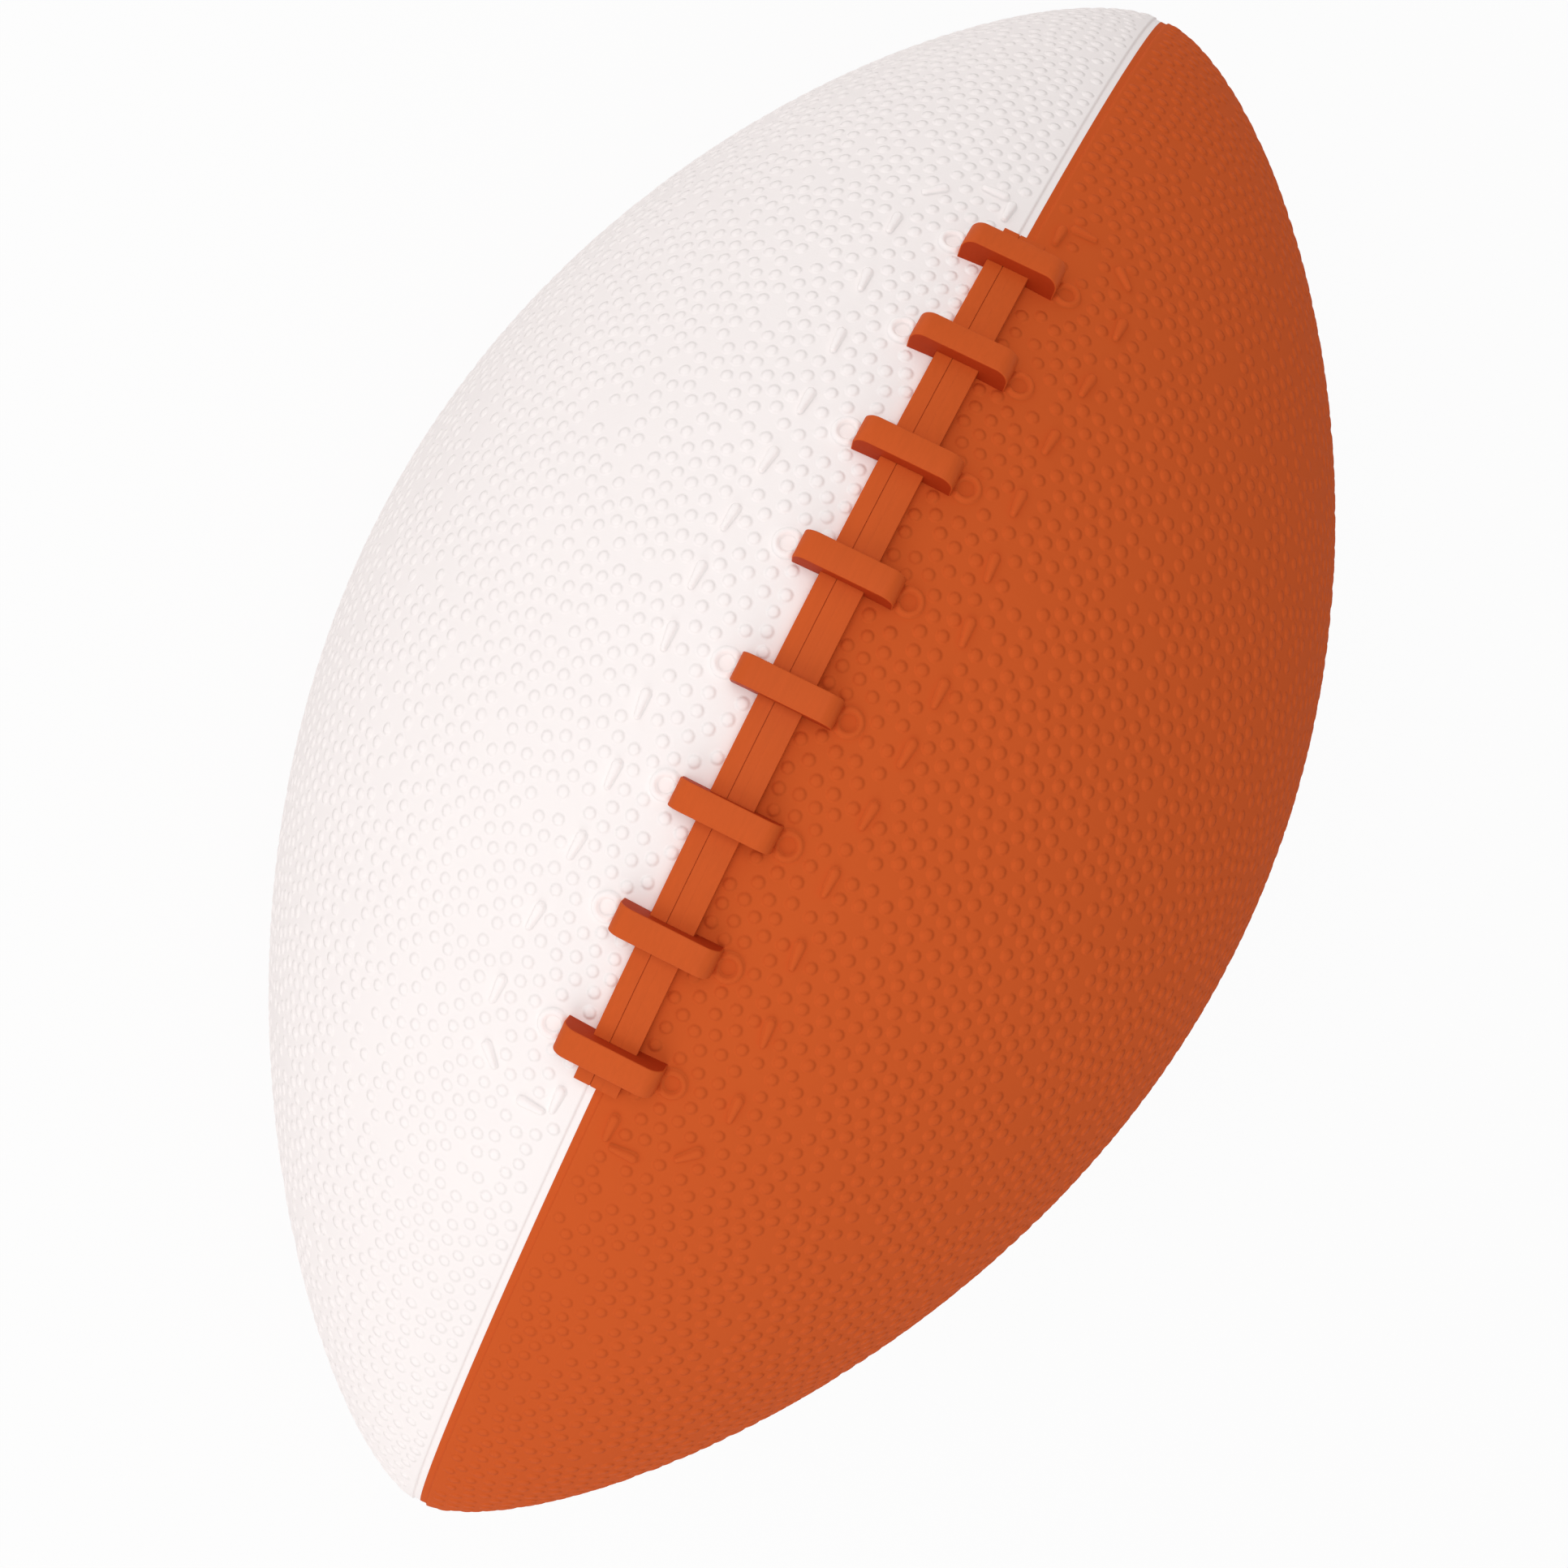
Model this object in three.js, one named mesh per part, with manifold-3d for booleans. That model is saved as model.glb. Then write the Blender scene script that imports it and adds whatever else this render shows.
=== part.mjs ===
// A moulded rubber american football, in millimetres.
// The origin is the ball's centre, +X runs along the ball, +Z points out through the laces
// and +Y points to the white front panel.
import * as THREE from "three";
import { mergeVertices } from "three/addons/utils/BufferGeometryUtils.js";
import Module from "manifold-3d";

const wasm = await Module();
wasm.setup();

// The ball
const BALL_LENGTH = 270;
const BALL_DIAMETER = 151.8;
// The ends' roundness: 0.5 is a round end and 1 is a sharp one
const END_SHARPNESS = 0.6735;
// How far the ends are drawn in beyond that
const END_TAPER = 0.13;

// The channel moulded along each seam, and the rubber left under it
const CHANNEL_FLOOR_WIDTH = 1.9;
const CHANNEL_WALL_RUN = 0.25;
const CHANNEL_DEPTH = 0.7;
const CHANNEL_FLOOR_THICKNESS = 1.3;
const SEAM_CLEARANCE = 0.2;

// The layers under the cover
const WINDING_THICKNESS = 0.5;
const BLADDER_THICKNESS = 0.8;
const LAYER_CLEARANCE = 0.25;

// The laces: bars across the seam, and two runs along it, with a core between them that sits in the channel
const BAR_COUNT = 8;
const BAR_PITCH = 17.0;
const BAR_WIDTH = 3.9;
const BAR_FOOT_LENGTH = 3.875;
const BAR_CROWN_THICKNESS = 1.85;
const BAR_CORNER = 2.0;
const LACE_ROW_SHIFT = 1.2;
const RUN_WIDTH = 2.25;
const RUN_HEIGHT = 1.5;
const RUN_OVERHANG = 2.6;
const CORE_SIDE_CLEARANCE = 0.275;
const LACE_CLEARANCE = 0.1;
const SEAT_CLEARANCE = 0.25;

// The valve, in the rear white panel
const VALVE_ANGLE = THREE.MathUtils.degToRad(22.5);
const VALVE_CORE_RADIUS = 1.6;
const VALVE_HEAD_RIM = 1.0;
const VALVE_HEAD_THICKNESS = 1.2;
const VALVE_STEM_WALL = 1.6;
const VALVE_STEM_RECESS = 0.6;
const VALVE_FLANGE_RIM = 3.5;
const VALVE_FLANGE_THICKNESS = 1.6;
const VALVE_NECK_WALL = 1.7;
const VALVE_NECK_LENGTH = 8.0;
const VALVE_CLEARANCE = 0.3;

// How finely the curves are cut into flats
const PANEL_LENGTH_STEPS = 30;
const PANEL_ARC_STEPS = 8;
const LAYER_LENGTH_STEPS = 20;
const LAYER_ARC_STEPS = 24;
const RUN_STEPS = 24;
const VALVE_ARC_STEPS = 24;
const CORNER_STEPS = 4;
const MERIDIAN_SAMPLES = 400;
const WELD_DISTANCE = 1e-4;

const HALF_LENGTH = BALL_LENGTH / 2;
const RADIUS = BALL_DIAMETER / 2;
const QUARTER_TURN = Math.PI / 2;

// How far a flat lies inside the arc that it stands for
const flatSag = (turn) => RADIUS * (1 - Math.cos(turn / 2));

const CHANNEL_WIDTH = CHANNEL_FLOOR_WIDTH + 2 * CHANNEL_WALL_RUN;
const COVER_THICKNESS = CHANNEL_DEPTH + CHANNEL_FLOOR_THICKNESS;
const WINDING_DEPTH = COVER_THICKNESS + LAYER_CLEARANCE + flatSag(QUARTER_TURN / PANEL_ARC_STEPS);
const BLADDER_DEPTH = WINDING_DEPTH + WINDING_THICKNESS + LAYER_CLEARANCE;
const HOLLOW_DEPTH = BLADDER_DEPTH + BLADDER_THICKNESS;

// Heights of the laces over the ball's surface, and how far they reach to each side of the seam
const LACE_BASE = SEAM_CLEARANCE / 2 + SEAT_CLEARANCE;
const CORE_BASE = LACE_BASE - CHANNEL_DEPTH;
const CORE_WIDTH = CHANNEL_FLOOR_WIDTH - 2 * CORE_SIDE_CLEARANCE;
const BAR_ROOF = RUN_HEIGHT + LACE_CLEARANCE;
const BAR_HEIGHT = BAR_ROOF + BAR_CROWN_THICKNESS;
const RUN_INNER_EDGE = CORE_WIDTH / 2 + LACE_CLEARANCE;
const RUN_OUTER_EDGE = RUN_INNER_EDGE + RUN_WIDTH;
const BAR_TUNNEL_EDGE = RUN_OUTER_EDGE + LACE_CLEARANCE;
const BAR_OUTER_EDGE = BAR_TUNNEL_EDGE + BAR_FOOT_LENGTH;

// The valve's radii, from its core outwards
const VALVE_BORE_RADIUS = VALVE_CORE_RADIUS + VALVE_CLEARANCE;
const VALVE_HEAD_RADIUS = VALVE_CORE_RADIUS + VALVE_HEAD_RIM;
const VALVE_COUNTERBORE_RADIUS = VALVE_HEAD_RADIUS + VALVE_CLEARANCE;
const VALVE_STEM_RADIUS = VALVE_COUNTERBORE_RADIUS + VALVE_STEM_WALL;
const VALVE_FLANGE_RADIUS = VALVE_STEM_RADIUS + VALVE_FLANGE_RIM;
const VALVE_NECK_RADIUS = VALVE_BORE_RADIUS + VALVE_NECK_WALL;
// The valve's axis crosses the ball's axis at the middle and leaves through the rear white panel
const VALVE_TURN = Math.PI - VALVE_ANGLE;
const VALVE_FACE = RADIUS - VALVE_STEM_RECESS;

const WHITE_RUBBER = { color: 0xf6ece8, roughness: 0.55, metalness: 0 };
const ORANGE_RUBBER = { color: 0xc65528, roughness: 0.55, metalness: 0 };
const LACE_RUBBER = { color: 0xca5629, roughness: 0.5, metalness: 0 };
const NYLON_YARN = { color: 0xd9d4c6, roughness: 0.9, metalness: 0 };
const BUTYL_RUBBER = { color: 0x1d1c1c, roughness: 0.6, metalness: 0 };
const VALVE_RUBBER = { color: 0x2a2928, roughness: 0.5, metalness: 0 };

const ball = new THREE.Group();

function addPiece(name, geometry, finish, parent = ball) {
  const mesh = new THREE.Mesh(geometry, new THREE.MeshStandardMaterial(finish));
  mesh.name = name;
  parent.add(mesh);
  return mesh;
}

// The ball's outline

// Radius of a layer that lies depth under the ball's surface, at a share of its half length from -1 to 1
function radiusAt(share, depth = 0) {
  const square = Math.min(share * share, 1);
  return (RADIUS - depth) * (1 - square) ** END_SHARPNESS * (1 - END_TAPER * square);
}

// Even steps of a sine, so that the flats get short towards the ends
function lengthShares(steps) {
  const shares = [];
  for (let i = 0; i <= steps; i += 1) {
    shares.push(Math.sin((i / steps - 0.5) * Math.PI));
  }
  shares[0] = -1;
  shares[steps] = 1;
  return shares;
}

// Points along the ball's surface over the seam, with the distance run from the ball's middle
function meridianTable() {
  const rows = [];
  let run = 0;
  for (let i = 0; i <= MERIDIAN_SAMPLES; i += 1) {
    const x = HALF_LENGTH * Math.sin((i / MERIDIAN_SAMPLES) * QUARTER_TURN);
    const z = radiusAt(x / HALF_LENGTH);
    if (i > 0) {
      run += Math.hypot(x - rows[i - 1].x, z - rows[i - 1].z);
    }
    rows.push({ run, x, z });
  }
  return rows;
}

const MERIDIAN = meridianTable();

// The surface point a given run from the middle, and how far the surface leans there
function meridianPoint(run) {
  const reach = Math.abs(run);
  const next = Math.max(1, MERIDIAN.findIndex((row) => row.run >= reach));
  const low = MERIDIAN[next - 1];
  const high = MERIDIAN[next];
  const share = (reach - low.run) / (high.run - low.run);
  const side = run < 0 ? -1 : 1;
  return {
    x: side * (low.x + share * (high.x - low.x)),
    z: low.z + share * (high.z - low.z),
    lean: side * Math.atan2(low.z - high.z, high.x - low.x),
  };
}

// Solids

function geometryOf(points, triangles) {
  const geometry = new THREE.BufferGeometry();
  geometry.setAttribute("position", new THREE.Float32BufferAttribute(points.flat(), 3));
  geometry.setIndex(triangles.flat());
  return geometry;
}

// Shared corners are joined, and the flats that shrink to a line at a pole are left out
function weld(source) {
  const bare = new THREE.BufferGeometry();
  bare.setAttribute("position", source.getAttribute("position"));
  bare.setIndex(source.index);
  const welded = mergeVertices(bare, WELD_DISTANCE);
  const index = welded.index.array;
  const kept = [];
  for (let i = 0; i < index.length; i += 3) {
    const [a, b, c] = index.slice(i, i + 3);
    if (a !== b && b !== c && c !== a) {
      kept.push(a, b, c);
    }
  }
  welded.setIndex(kept);
  return welded;
}

function toSolid(geometry) {
  const welded = weld(geometry);
  const vertProperties = new Float32Array(welded.getAttribute("position").array);
  const triVerts = new Uint32Array(welded.index.array);
  return new wasm.Manifold(new wasm.Mesh({ numProp: 3, vertProperties, triVerts }));
}

function toGeometry(solid) {
  const mesh = solid.getMesh();
  const geometry = new THREE.BufferGeometry();
  geometry.setAttribute("position", new THREE.BufferAttribute(mesh.vertProperties, 3));
  geometry.setIndex(new THREE.BufferAttribute(mesh.triVerts, 1));
  return geometry;
}

// A turned solid about Z, from [radius, height] points listed upwards along its outside
function turnedAboutZ(outline, steps) {
  const points = outline.map(([radius, height]) => new THREE.Vector2(radius, height));
  return new THREE.LatheGeometry(points, steps).rotateX(QUARTER_TURN);
}

// A whole egg-shaped layer, solid through
function layerSolid(depth) {
  const outline = lengthShares(LAYER_LENGTH_STEPS).map((share) => [
    Math.abs(share) === 1 ? 0 : radiusAt(share, depth),
    share * (HALF_LENGTH - depth),
  ]);
  const geometry = turnedAboutZ(outline, LAYER_ARC_STEPS).rotateY(QUARTER_TURN);
  return toSolid(geometry);
}

// Cuts the hole that the valve's stem passes through, its axis turned from +Z about the ball's axis
function withValveHole(solid, turn) {
  const radius = VALVE_STEM_RADIUS + VALVE_CLEARANCE;
  const outline = [[0, 0], [radius, 0], [radius, BALL_DIAMETER], [0, BALL_DIAMETER]];
  const hole = toSolid(turnedAboutZ(outline, VALVE_ARC_STEPS).rotateX(turn));
  return toGeometry(solid.subtract(hole));
}

// Bladder and winding

function layerGeometry(depth, thickness) {
  const shell = layerSolid(depth).subtract(layerSolid(depth + thickness));
  return withValveHole(shell, VALVE_TURN);
}

function addLayers() {
  addPiece("nylon_winding", layerGeometry(WINDING_DEPTH, WINDING_THICKNESS), NYLON_YARN);
  addPiece("bladder", layerGeometry(BLADDER_DEPTH, BLADDER_THICKNESS), BUTYL_RUBBER);
}

// Cover panels

// Angles across one panel and the depth of its outer face at each, for a place with this radius.
// Close to the poles, where the channels meet, the raised part keeps half of the panel
function panelColumns(radius) {
  const wallTop = Math.min(CHANNEL_WIDTH / 2 / radius, QUARTER_TURN / 4);
  const floorEnd = (wallTop * CHANNEL_FLOOR_WIDTH) / CHANNEL_WIDTH;
  const columns = [
    { angle: 0, depth: CHANNEL_DEPTH },
    { angle: floorEnd, depth: CHANNEL_DEPTH },
  ];
  for (let i = 0; i <= PANEL_ARC_STEPS; i += 1) {
    const angle = wallTop + (i / PANEL_ARC_STEPS) * (QUARTER_TURN - 2 * wallTop);
    columns.push({ angle, depth: 0 });
  }
  columns.push({ angle: QUARTER_TURN - floorEnd, depth: CHANNEL_DEPTH });
  columns.push({ angle: QUARTER_TURN, depth: CHANNEL_DEPTH });
  return columns;
}

// A quarter of the cover between +Z and +Y, standing half the seam clearance off both seam planes
function panelGeometry() {
  const offset = SEAM_CLEARANCE / 2;
  const shares = lengthShares(PANEL_LENGTH_STEPS);
  const points = [];
  const grids = { outer: [], inner: [] };
  const place = (share, angle, depth) => {
    const radius = radiusAt(share, depth);
    const x = share * (HALF_LENGTH - depth);
    points.push([x, radius * Math.sin(angle) + offset, radius * Math.cos(angle) + offset]);
    return points.length - 1;
  };
  shares.forEach((share) => {
    if (Math.abs(share) === 1) {
      const x = Math.sign(share);
      points.push([x * (HALF_LENGTH - CHANNEL_DEPTH), offset, offset]);
      points.push([x * (HALF_LENGTH - COVER_THICKNESS), offset, offset]);
      const width = panelColumns(RADIUS).length;
      grids.outer.push(new Array(width).fill(points.length - 2));
      grids.inner.push(new Array(width).fill(points.length - 1));
      return;
    }
    const columns = panelColumns(radiusAt(share));
    grids.outer.push(columns.map(({ angle, depth }) => place(share, angle, depth)));
    grids.inner.push(columns.map(({ angle }) => place(share, angle, COVER_THICKNESS)));
  });
  const triangles = [];
  const quad = (a, b, c, d) => triangles.push([a, b, c], [a, c, d]);
  const last = grids.outer[0].length - 1;
  for (let i = 0; i < PANEL_LENGTH_STEPS; i += 1) {
    const [outer, outerNext] = [grids.outer[i], grids.outer[i + 1]];
    const [inner, innerNext] = [grids.inner[i], grids.inner[i + 1]];
    for (let j = 0; j < last; j += 1) {
      quad(outer[j], outerNext[j], outerNext[j + 1], outer[j + 1]);
      quad(inner[j], inner[j + 1], innerNext[j + 1], innerNext[j]);
    }
    quad(outer[0], inner[0], innerNext[0], outerNext[0]);
    quad(outer[last], outerNext[last], innerNext[last], inner[last]);
  }
  return weld(geometryOf(points, triangles));
}

// The panels go round the ball from the white front one, a quarter turn each
function addPanels() {
  const panels = [
    { name: "front_white_panel", finish: WHITE_RUBBER },
    { name: "front_orange_panel", finish: ORANGE_RUBBER },
    { name: "rear_white_panel", finish: WHITE_RUBBER, holdsValve: true },
    { name: "rear_orange_panel", finish: ORANGE_RUBBER },
  ];
  panels.forEach(({ name, finish, holdsValve }, i) => {
    const turn = i * QUARTER_TURN;
    const whole = panelGeometry();
    const geometry = holdsValve ? withValveHole(toSolid(whole), VALVE_TURN - turn) : whole;
    addPiece(name, geometry, finish).rotation.x = turn;
  });
}

// Laces

// A straight-sided strip that follows the seam, from one side to the other and from its base up
function stripGeometry(fromSide, toSide, base) {
  const reach = ((BAR_COUNT - 1) * BAR_PITCH + BAR_WIDTH) / 2 + RUN_OVERHANG;
  const corners = [[fromSide, base], [toSide, base], [toSide, RUN_HEIGHT], [fromSide, RUN_HEIGHT]];
  const ring = corners.length;
  const points = [];
  for (let i = 0; i <= RUN_STEPS; i += 1) {
    const { x, z, lean } = meridianPoint(LACE_ROW_SHIFT + reach * ((2 * i) / RUN_STEPS - 1));
    corners.forEach(([side, lift]) => {
      points.push([x + lift * Math.sin(lean), side, z + lift * Math.cos(lean)]);
    });
  }
  const triangles = [];
  for (let i = 0; i < RUN_STEPS; i += 1) {
    for (let j = 0; j < ring; j += 1) {
      const a = ring * i + j;
      const b = ring * i + ((j + 1) % ring);
      triangles.push([a, b + ring, a + ring], [a, b, b + ring]);
    }
  }
  const end = ring * RUN_STEPS;
  triangles.push([0, 2, 1], [0, 3, 2], [end, end + 1, end + 2], [end, end + 2, end + 3]);
  return geometryOf(points, triangles);
}

// A bar's outline across the seam: two feet on the panels and a crown over the runs
function barShape(radius) {
  const footAt = (side) => LACE_BASE - (side * side) / (2 * radius);
  const corner = Math.min(BAR_CORNER, BAR_HEIGHT - LACE_BASE, BAR_FOOT_LENGTH);
  const cornerSide = BAR_OUTER_EDGE - corner;
  const cornerHeight = BAR_HEIGHT - corner;
  const shape = new THREE.Shape();
  shape.moveTo(BAR_TUNNEL_EDGE, footAt(BAR_TUNNEL_EDGE));
  shape.lineTo(BAR_OUTER_EDGE, footAt(BAR_OUTER_EDGE));
  shape.absarc(cornerSide, cornerHeight, corner, 0, QUARTER_TURN, false);
  shape.absarc(-cornerSide, cornerHeight, corner, QUARTER_TURN, 2 * QUARTER_TURN, false);
  shape.lineTo(-BAR_OUTER_EDGE, footAt(BAR_OUTER_EDGE));
  shape.lineTo(-BAR_TUNNEL_EDGE, footAt(BAR_TUNNEL_EDGE));
  shape.lineTo(-BAR_TUNNEL_EDGE, BAR_ROOF);
  shape.lineTo(BAR_TUNNEL_EDGE, BAR_ROOF);
  shape.closePath();
  return shape;
}

// Turns a shape drawn across the seam and up, and extruded, so that it is extruded along +X
const ACROSS_UP_ALONG = new THREE.Matrix4().makeBasis(
  new THREE.Vector3(0, 1, 0),
  new THREE.Vector3(0, 0, 1),
  new THREE.Vector3(1, 0, 0),
);

function addLaces() {
  const whiteRun = stripGeometry(RUN_INNER_EDGE, RUN_OUTER_EDGE, LACE_BASE);
  const orangeRun = stripGeometry(-RUN_OUTER_EDGE, -RUN_INNER_EDGE, LACE_BASE);
  const core = stripGeometry(-CORE_WIDTH / 2, CORE_WIDTH / 2, CORE_BASE);
  addPiece("lace_run_white_side", whiteRun, LACE_RUBBER);
  addPiece("lace_run_orange_side", orangeRun, LACE_RUBBER);
  addPiece("lace_core", core, LACE_RUBBER);
  for (let i = 0; i < BAR_COUNT; i += 1) {
    const { x, z, lean } = meridianPoint(LACE_ROW_SHIFT + (i - (BAR_COUNT - 1) / 2) * BAR_PITCH);
    const geometry = new THREE.ExtrudeGeometry(barShape(z), {
      depth: BAR_WIDTH,
      bevelEnabled: false,
      curveSegments: CORNER_STEPS,
    });
    geometry.translate(0, 0, -BAR_WIDTH / 2).applyMatrix4(ACROSS_UP_ALONG);
    const bar = addPiece(`lace_bar_${i + 1}`, geometry, LACE_RUBBER);
    bar.position.set(x, 0, z);
    bar.rotation.y = lean;
  }
}

// Valve

// The flange's top face, clear of the bladder's flats all along its rim
function valveFlangeTop() {
  const wall = radiusAt(VALVE_FLANGE_RADIUS / HALF_LENGTH, HOLLOW_DEPTH);
  return wall - flatSag((2 * Math.PI) / LAYER_ARC_STEPS) - LAYER_CLEARANCE - VALVE_CLEARANCE;
}

function addValve() {
  const valve = new THREE.Group();
  valve.rotation.x = VALVE_TURN;
  ball.add(valve);
  const flangeTop = valveFlangeTop();
  const flangeFoot = flangeTop - VALVE_FLANGE_THICKNESS;
  const neckEnd = flangeFoot - VALVE_NECK_LENGTH;
  const headFoot = VALVE_FACE - VALVE_HEAD_THICKNESS;
  const headSeat = headFoot - VALVE_CLEARANCE;
  const housing = [
    [VALVE_BORE_RADIUS, neckEnd],
    [VALVE_NECK_RADIUS, neckEnd],
    [VALVE_NECK_RADIUS, flangeFoot],
    [VALVE_FLANGE_RADIUS, flangeFoot],
    [VALVE_FLANGE_RADIUS, flangeTop],
    [VALVE_STEM_RADIUS, flangeTop],
    [VALVE_STEM_RADIUS, VALVE_FACE],
    [VALVE_COUNTERBORE_RADIUS, VALVE_FACE],
    [VALVE_COUNTERBORE_RADIUS, headSeat],
    [VALVE_BORE_RADIUS, headSeat],
    [VALVE_BORE_RADIUS, neckEnd],
  ];
  const core = [
    [0, neckEnd],
    [VALVE_CORE_RADIUS, neckEnd],
    [VALVE_CORE_RADIUS, headFoot],
    [VALVE_HEAD_RADIUS, headFoot],
    [VALVE_HEAD_RADIUS, VALVE_FACE],
    [0, VALVE_FACE],
  ];
  addPiece("valve_housing", weld(turnedAboutZ(housing, VALVE_ARC_STEPS)), VALVE_RUBBER, valve);
  addPiece("valve_core", weld(turnedAboutZ(core, VALVE_ARC_STEPS)), VALVE_RUBBER, valve);
}

addLayers();
addPanels();
addLaces();
addValve();

export default ball;
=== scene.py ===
import math

import bmesh
import bpy
import numpy as np
from mathutils import Matrix, Vector
from mathutils.geometry import delaunay_2d_cdt
from mathutils.kdtree import KDTree


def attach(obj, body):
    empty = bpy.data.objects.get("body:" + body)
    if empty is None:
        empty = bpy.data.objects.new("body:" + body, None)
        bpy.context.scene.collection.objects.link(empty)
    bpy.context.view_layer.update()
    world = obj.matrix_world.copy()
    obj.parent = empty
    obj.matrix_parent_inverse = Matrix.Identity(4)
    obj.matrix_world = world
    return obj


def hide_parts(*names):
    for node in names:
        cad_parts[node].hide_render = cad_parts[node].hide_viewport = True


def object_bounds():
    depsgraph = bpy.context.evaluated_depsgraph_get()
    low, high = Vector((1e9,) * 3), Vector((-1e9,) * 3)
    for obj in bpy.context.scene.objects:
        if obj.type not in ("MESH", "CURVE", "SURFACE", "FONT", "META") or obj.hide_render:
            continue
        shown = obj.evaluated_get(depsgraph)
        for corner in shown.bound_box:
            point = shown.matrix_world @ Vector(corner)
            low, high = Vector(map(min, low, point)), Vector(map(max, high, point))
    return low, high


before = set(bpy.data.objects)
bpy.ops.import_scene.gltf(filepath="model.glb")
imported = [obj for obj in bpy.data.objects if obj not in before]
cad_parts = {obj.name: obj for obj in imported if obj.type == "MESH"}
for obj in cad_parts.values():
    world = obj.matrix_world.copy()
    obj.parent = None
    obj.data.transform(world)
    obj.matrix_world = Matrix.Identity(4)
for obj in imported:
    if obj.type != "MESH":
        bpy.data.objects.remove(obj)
cad_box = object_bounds()

# A moulded rubber american football: pebbled panels, laces over one seam, and a pump valve behind.
# Lengths are in millimetres, in the frame of the solids, until a mesh is made from them.
MM = 0.001
SEED = 7

# The photograph's camera
PHOTO_PIXELS = 1932
FOCAL_PIXELS = 2383.9
CENTRE_PIXEL = (999.7, 893.6)
CAMERA_DISTANCE = 315.06
CAMERA_ALONG_DEG = -7.31
CAMERA_ACROSS_DEG = 3.40
CAMERA_ROLL_DEG = 26.69
CAMERA_NEAR = 10.0
SENSOR_WIDTH = 36.0

# The ball's outline, the same as in the solids
BALL_LENGTH = 270.0
BALL_DIAMETER = 151.8
END_SHARPNESS = 0.6735
END_TAPER = 0.13
COVER_THICKNESS = 2.0
HALF_LENGTH = BALL_LENGTH / 2
MERIDIAN_SAMPLES = 8001

# The ground between the pebbles lies a little under that outline, and the pebbles stand through it
GROUND = -0.11
PEBBLE_RADIUS = 1.15
PEBBLE_HEIGHT = 0.13
PEBBLE_VARIATION = 0.035
PEBBLE_REACH = PEBBLE_RADIUS * (1 + PEBBLE_VARIATION)
PEBBLE_FLATNESS = 2.2

# The pebbles are low, so their normals lean further than their domes do, by this factor
PEBBLE_CRISPNESS = 3.6

# A pebble's rings of points, as a share of its radius and a count
PEBBLE_RINGS = ((0.38, 5), (0.70, 10), (1.0, 10))

# How the pebbles are scattered, pushed apart and kept off each other and the laces
PEBBLE_TRIES = 48000
PEBBLE_AREA = 6.0
PEBBLE_FIRST_GAP = 1.95
PEBBLE_PITCH = 2.75
PEBBLE_ROUNDS = 8
PEBBLE_PUSH = 0.4
PEBBLE_NEIGHBOURS = 6
PEBBLE_CLEARANCE = 0.01
PEBBLE_LEAST_GAP = 2 * PEBBLE_REACH + PEBBLE_CLEARANCE
PEBBLE_LACE_GAP = 0.9 * PEBBLE_RADIUS

# The channel along each seam, as distance in from the seam and height, and the sunk disc at each tip
SEAM_GAP = 0.012
CHANNEL_DEPTH = 0.43
CHANNEL_FLAT_EDGE = 0.88
RIM_PROFILE = ((0.95, -CHANNEL_DEPTH), (1.02, -0.38), (1.15, -0.21), (1.22, -0.13), (1.45, GROUND))
TIP_DISC_RADIUS = 2.3
TIP_RINGS = ((0.45, 2), (1.0, 4), (1.6, 6), (2.2, 8))
RIM_STEP = 1.7
TIP_CROSS_STEPS = 8

# The cover's inner face: how far its points keep from the edges and from each other
INNER_INSET = 4.0
INNER_SPREAD = 7.0

# The flat map for colours: the ball's half length and the width's scale on it, and a band for each face
MAP_HALF_LENGTH = 0.49
MAP_WIDTH_SCALE = 0.95
OUTER_BAND = 0.25
INNER_BAND = 0.74

# The laces
LACE_ROW_SHIFT = 1.2
BAR_COUNT = 8
BAR_PITCH = 17.0
BAR_WIDTH = 3.9
BAR_HEIGHT = 3.45
BAR_OUTER_EDGE = 7.0
BAR_CORNER = 2.0
BAR_CORNER_STEPS = 10
BAR_EDGE_ROUNDING = 0.15
RUN_INNER_EDGE = 0.775
RUN_OUTER_EDGE = 3.025
RUN_HEIGHT = 1.5
RUN_OVERHANG = 2.6
RUN_EDGE_ROUNDING = 0.1
GROOVE_WIDTH = 0.11
GROOVE_DEPTH = 0.2
LACE_GAP = 0.02
CORE_SIDE_GAP = 0.005
STRIP_STEPS = 72
EDGE_STEPS = 3
SHARP_ANGLE_DEG = 40.0

# Eyelet rings at the bars' ends: distance from the ring's centre, and height over the ground
EYELET_SIDE = 8.45
EYELET_PROFILE = ((2.2, 0.0), (1.97, 0.42), (1.6, 0.60), (1.23, 0.42), (1.0, 0.0))
EYELET_SEGMENTS = 28
EYELET_FADE = 0.3

# Stitch marks round the laces: half width and height of a mark's rings, at its thick end
MARK_PROFILE = ((0.85, 0.0), (0.62, 0.45), (0.28, 0.62))
MARK_LENGTH = 4.4
MARK_TAPER = 0.62
MARK_SEGMENTS = 5
MARK_SIDE = 16.15
MARK_WAVE = 0.95
MARK_WAVE_LENGTH = 59.0
MARK_PAIRS = 6
MARK_PITCH = 8.3
MARK_SPREAD = 0.25
CORNER_MARK = (67.4, 14.4, 45.0)
CROSS_MARK = (71.2, 6.7, 90.0)
SHORT_MARK = (68.7, 3.85, 0.0)

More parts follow.
